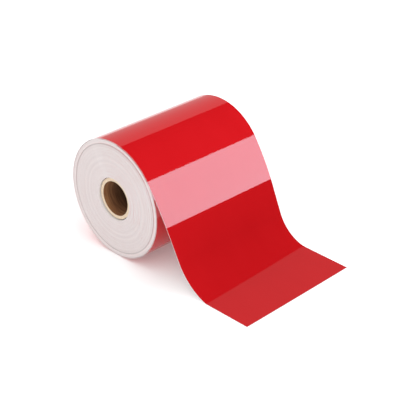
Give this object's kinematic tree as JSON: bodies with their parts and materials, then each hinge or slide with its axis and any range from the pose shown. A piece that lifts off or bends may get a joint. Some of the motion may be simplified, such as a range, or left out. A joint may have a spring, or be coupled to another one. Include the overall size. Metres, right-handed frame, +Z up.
{
  "type": "roll of sign vinyl",
  "caption": "Roll of gloss red self-adhesive sign vinyl on a paperboard core, with its free end drawn down onto the bench, its film and release liner able to part.",
  "frame": {"origin": "on the bench, under the middle of the whole object's box", "axes": "+X along the roll's axis, +Y from the drawn-off end towards the roll, +Z up"},
  "size_m": [0.1016, 0.1705, 0.0878],
  "materials": {
    "face_film": "gloss calendered PVC film",
    "adhesive": "pressure-sensitive acrylic, satin",
    "release_liner": "white silicone-coated release paper",
    "core_board": "spiral-wound kraft board, cut ends paler",
    "start_tape": "crepe paper tape"
  },
  "bodies": {
    "last_lap": {"lap_film": "face_film", "lap_adhesive": "adhesive", "lap_liner": "release_liner"},
    "wound_roll": {"core_ply_1": "core_board", "core_ply_2": "core_board", "core_ply_3": "core_board", "core_ply_4": "core_board", "core_ply_5": "core_board", "core_start_tape": "start_tape", "wound_film": "face_film", "wound_adhesive": "adhesive", "wound_liner": "release_liner"},
    "drape": {"drape_film": "face_film", "drape_adhesive": "adhesive", "drape_liner": "release_liner"},
    "flap": {"flap_film": "face_film", "flap_adhesive": "adhesive", "flap_liner": "release_liner"},
    "peel_tab": {"peel_film": "face_film", "peel_adhesive": "adhesive"}
  },
  "joints": [
    {"name": "roll_turn", "type": "hinge", "parent": "last_lap", "child": "wound_roll", "pos_m": [0, 0.04115, 0.04363], "axis": [1, 0, 0], "continuous": true},
    {"name": "tail_lift", "type": "hinge", "parent": "last_lap", "child": "drape", "pos_m": [0, 0.00487, 0.06904], "axis": [-1, 0, 0], "range_deg": [0, 60]},
    {"name": "flap_lift", "type": "hinge", "parent": "drape", "child": "flap", "pos_m": [0, -0.04845, 0.00092], "axis": [-1, 0, 0], "range_deg": [0, 60]},
    {"name": "film_peel", "type": "hinge", "parent": "flap", "child": "peel_tab", "pos_m": [0, -0.06045, 0.00092], "axis": [-1, 0, 0], "range_deg": [0, 110]}
  ]
}
